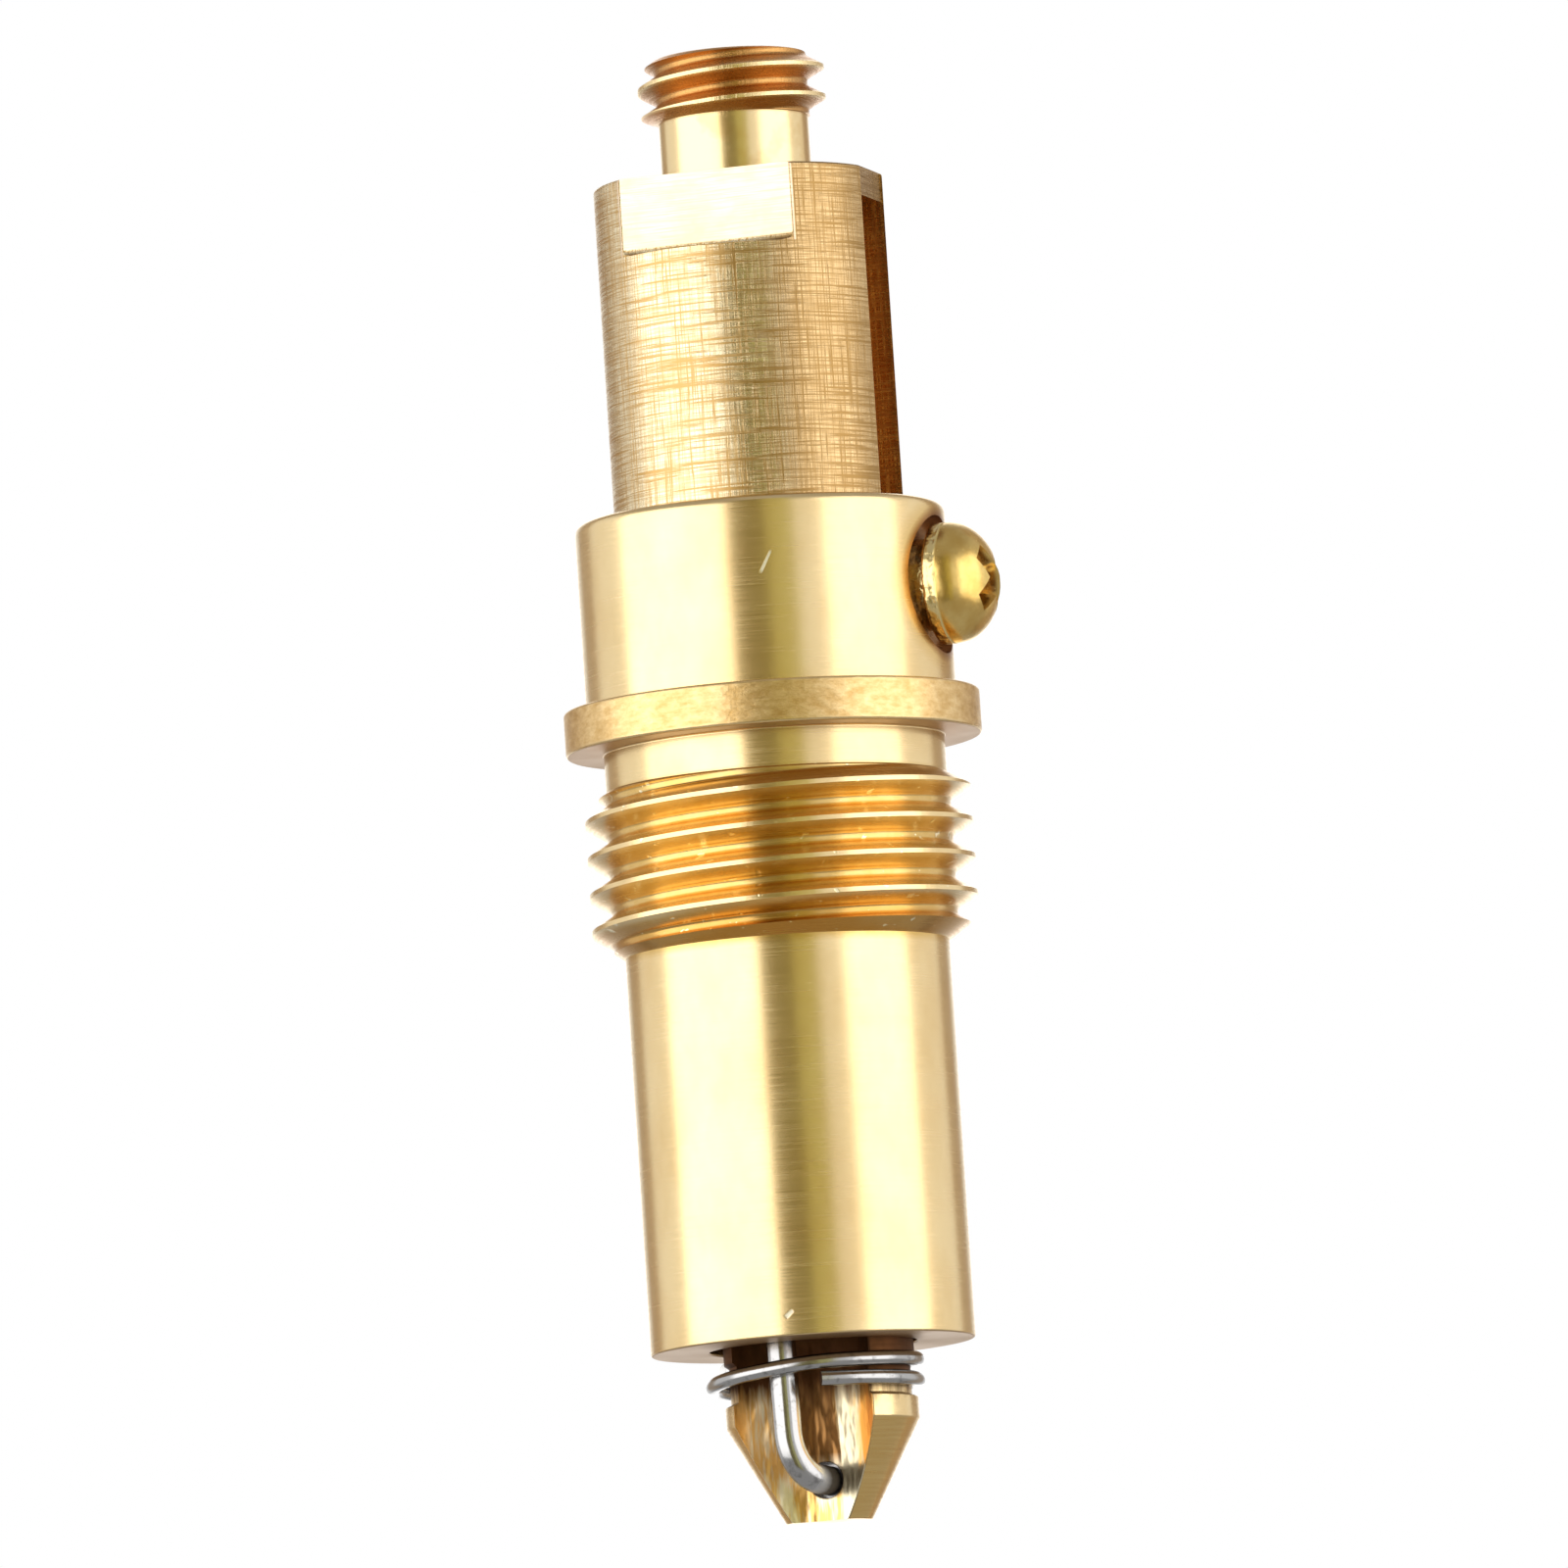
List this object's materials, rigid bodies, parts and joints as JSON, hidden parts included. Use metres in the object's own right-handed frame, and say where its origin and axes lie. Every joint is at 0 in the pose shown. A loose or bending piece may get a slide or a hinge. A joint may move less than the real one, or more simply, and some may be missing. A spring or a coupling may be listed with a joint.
{
  "type": "click-clack waste plug cartridge",
  "caption": "Push-to-lock cartridge for a basin or bath waste plug: a sprung plunger with a cap stud slides in a threaded brass sleeve and latches on a heart cam.",
  "frame": {"origin": "on the sleeve's axis, in the plane of the flange's underside, where the flange seats on the waste body", "axes": "+Z along the axis towards the cap stud; +X through the guide screw; -Y through the needle and its flute"},
  "size_m": [0.0186, 0.0172, 0.0606],
  "materials": {
    "turned_brass": "bright turned",
    "plunger_brass": "satin, scratched",
    "screw_brass": "polished",
    "carrier_brass": "bright turned",
    "cam_brass": "milled",
    "polished_steel": "polished wire",
    "spring_steel": "drawn wire"
  },
  "bodies": {
    "housing": {"sleeve": "turned_brass", "guide_screw": "screw_brass", "needle_carrier": "carrier_brass", "retaining_ring": "polished_steel", "return_spring": "spring_steel"},
    "plunger": {"plunger": "plunger_brass", "heart_cam": "cam_brass"},
    "needle": {"needle": "polished_steel"}
  },
  "joints": [
    {"name": "plunger_slide", "type": "slide", "parent": "housing", "child": "plunger", "axis": [0, 0, 1], "range_m": [-0.009, 0], "stiffness_N_per_m": 660, "springref_m": 0.011, "deforming": ["return_spring"]},
    {"name": "needle_swing", "type": "hinge", "parent": "housing", "child": "needle", "pos_m": [0.0005, 0, -0.03035], "axis": [0, 1, 0], "range_deg": [-3.3, 0]}
  ],
  "couplings": [
    {"joint": "needle_swing", "follows": "plunger_slide", "rad_per_m": 6.2}
  ]
}
